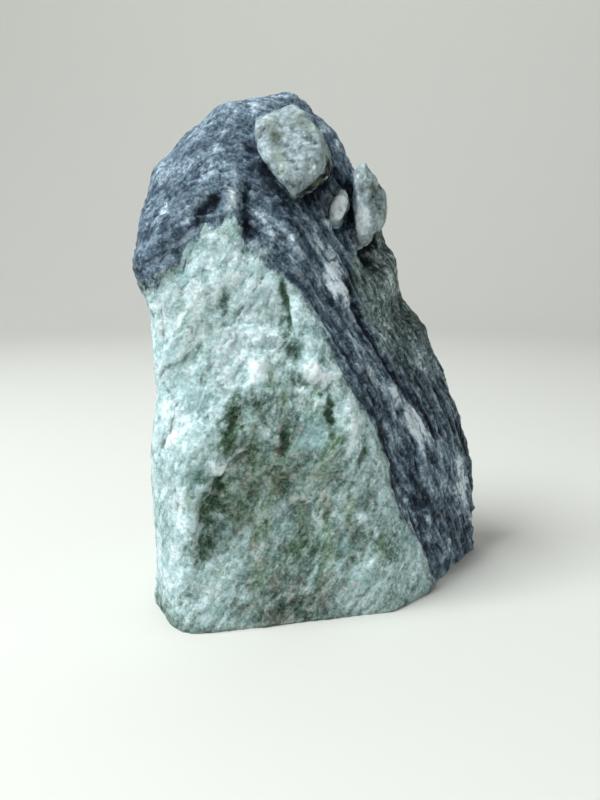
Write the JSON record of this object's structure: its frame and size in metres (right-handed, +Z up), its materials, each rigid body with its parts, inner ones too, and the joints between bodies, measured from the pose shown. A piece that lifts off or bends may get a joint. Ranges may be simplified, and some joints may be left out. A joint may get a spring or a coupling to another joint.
{
  "type": "raw soapstone block",
  "caption": "Unworked block of soapstone for carving, broken on every side, with a flat base, a pale talc front and a dark schist crown and flank.",
  "frame": {"origin": "middle of the block's plan size, on the flat base it stands on", "axes": "+Z up from the base, +X to the block's right as its pale front is seen, +Y to its back"},
  "size_m": [0.1612, 0.114, 0.222],
  "materials": {
    "soapstone": "broken stone, waxy on the talc, dull on the schist"
  },
  "bodies": {
    "root": {"soapstone_block": "soapstone"}
  },
  "joints": []
}
